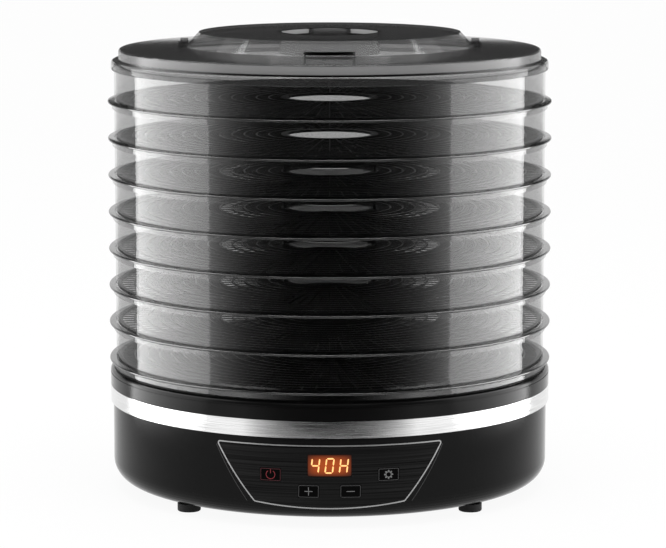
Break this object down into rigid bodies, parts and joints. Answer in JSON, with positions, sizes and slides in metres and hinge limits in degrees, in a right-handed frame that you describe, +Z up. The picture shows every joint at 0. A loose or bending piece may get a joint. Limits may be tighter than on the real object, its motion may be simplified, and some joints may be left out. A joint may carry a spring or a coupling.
{
  "type": "food dehydrator",
  "caption": "Round food dehydrator: heater and fan base with a key panel and steel band, carrying stacked see-through trays and a vented lid.",
  "frame": {"origin": "on the table, under the centre of the round base", "axes": "+Z up, front panel towards -Y, cord inlet towards +Y"},
  "size_m": [0.34, 0.34, 0.3503],
  "materials": {
    "black_plastic": "satin black",
    "base_plastic": "matte black",
    "deck_plastic": "satin black",
    "rubber": "matte",
    "steel_band": "brushed round the band",
    "sheet_metal": "galvanised",
    "mica": "matte",
    "heater_wire": "oxidised",
    "ceramic": "matte",
    "motor_case": "satin",
    "bronze": "sintered",
    "circuit_board": "solder mask",
    "display": "dark, gloss",
    "panel": "brushed black",
    "trim": "bright",
    "screw_steel": "plated",
    "shaft_steel": "ground",
    "fan_plastic": "matte",
    "smoked_plastic": "clear, smoked",
    "floor_plastic": "clear, smoked",
    "duct_plastic": "gloss black",
    "lid_plastic": "clear, smoked"
  },
  "bodies": {
    "base": {"base_housing": "black_plastic", "bottom_cover": "base_plastic", "feet": "rubber", "steel_band": "steel_band", "top_deck": "deck_plastic", "air_grille": "base_plastic", "fan_shroud": "sheet_metal", "heater_frame": "mica", "heater_coil": "heater_wire", "thermal_cutout": "ceramic", "motor_bracket": "sheet_metal", "motor_body": "motor_case", "shaft_bushes": "bronze", "control_board": "circuit_board", "display_module": "base_plastic", "display_lens": "display", "panel_fascia": "panel", "panel_trim": "trim", "key_switches": "base_plastic", "power_board": "circuit_board", "cord_gland": "rubber", "cover_screws": "screw_steel", "deck_screws": "screw_steel", "motor_screws": "screw_steel", "board_screws": "screw_steel"},
    "fan": {"motor_shaft": "shaft_steel", "fan_impeller": "fan_plastic"},
    "power_key": {"key_power": "panel"},
    "settings_key": {"key_settings": "panel"},
    "plus_key": {"key_plus": "panel"},
    "minus_key": {"key_minus": "panel"},
    "tray_8": {"tray_8_ring": "smoked_plastic", "tray_8_floor": "floor_plastic", "tray_8_duct": "duct_plastic"},
    "tray_7": {"tray_7_ring": "smoked_plastic", "tray_7_floor": "floor_plastic", "tray_7_duct": "duct_plastic"},
    "tray_6": {"tray_6_ring": "smoked_plastic", "tray_6_floor": "floor_plastic", "tray_6_duct": "duct_plastic"},
    "tray_5": {"tray_5_ring": "smoked_plastic", "tray_5_floor": "floor_plastic", "tray_5_duct": "duct_plastic"},
    "tray_4": {"tray_4_ring": "smoked_plastic", "tray_4_floor": "floor_plastic", "tray_4_duct": "duct_plastic"},
    "tray_3": {"tray_3_ring": "smoked_plastic", "tray_3_floor": "floor_plastic", "tray_3_duct": "duct_plastic"},
    "tray_2": {"tray_2_ring": "smoked_plastic", "tray_2_floor": "floor_plastic"},
    "tray_1": {"tray_1_ring": "smoked_plastic", "tray_1_floor": "floor_plastic"},
    "lid": {"lid_shell": "lid_plastic", "lid_grip": "lid_plastic"}
  },
  "joints": [
    {"name": "fan_spin", "type": "hinge", "parent": "base", "child": "fan", "pos_m": [0, 0, 0.055], "axis": [0, 0, 1], "continuous": true},
    {"name": "power_press", "type": "slide", "parent": "base", "child": "power_key", "axis": [0, 1, 0], "range_m": [0, 0.0006], "stiffness_N_per_m": 500},
    {"name": "settings_press", "type": "slide", "parent": "base", "child": "settings_key", "axis": [0, 1, 0], "range_m": [0, 0.0006], "stiffness_N_per_m": 500},
    {"name": "plus_press", "type": "slide", "parent": "base", "child": "plus_key", "axis": [0, 1, 0], "range_m": [0, 0.0006], "stiffness_N_per_m": 500},
    {"name": "minus_press", "type": "slide", "parent": "base", "child": "minus_key", "axis": [0, 1, 0], "range_m": [0, 0.0006], "stiffness_N_per_m": 500},
    {"name": "tray_8_lift", "type": "slide", "parent": "base", "child": "tray_8", "axis": [0, 0, 1], "range_m": [0, 0.04]},
    {"name": "tray_7_lift", "type": "slide", "parent": "tray_8", "child": "tray_7", "axis": [0, 0, 1], "range_m": [0, 0.04]},
    {"name": "tray_6_lift", "type": "slide", "parent": "tray_7", "child": "tray_6", "axis": [0, 0, 1], "range_m": [0, 0.04]},
    {"name": "tray_5_lift", "type": "slide", "parent": "tray_6", "child": "tray_5", "axis": [0, 0, 1], "range_m": [0, 0.04]},
    {"name": "tray_4_lift", "type": "slide", "parent": "tray_5", "child": "tray_4", "axis": [0, 0, 1], "range_m": [0, 0.04]},
    {"name": "tray_3_lift", "type": "slide", "parent": "tray_4", "child": "tray_3", "axis": [0, 0, 1], "range_m": [0, 0.04]},
    {"name": "tray_2_lift", "type": "slide", "parent": "tray_3", "child": "tray_2", "axis": [0, 0, 1], "range_m": [0, 0.04]},
    {"name": "tray_1_lift", "type": "slide", "parent": "tray_2", "child": "tray_1", "axis": [0, 0, 1], "range_m": [0, 0.04]},
    {"name": "lid_lift", "type": "slide", "parent": "tray_1", "child": "lid", "axis": [0, 0, 1], "range_m": [0, 0.06]}
  ]
}
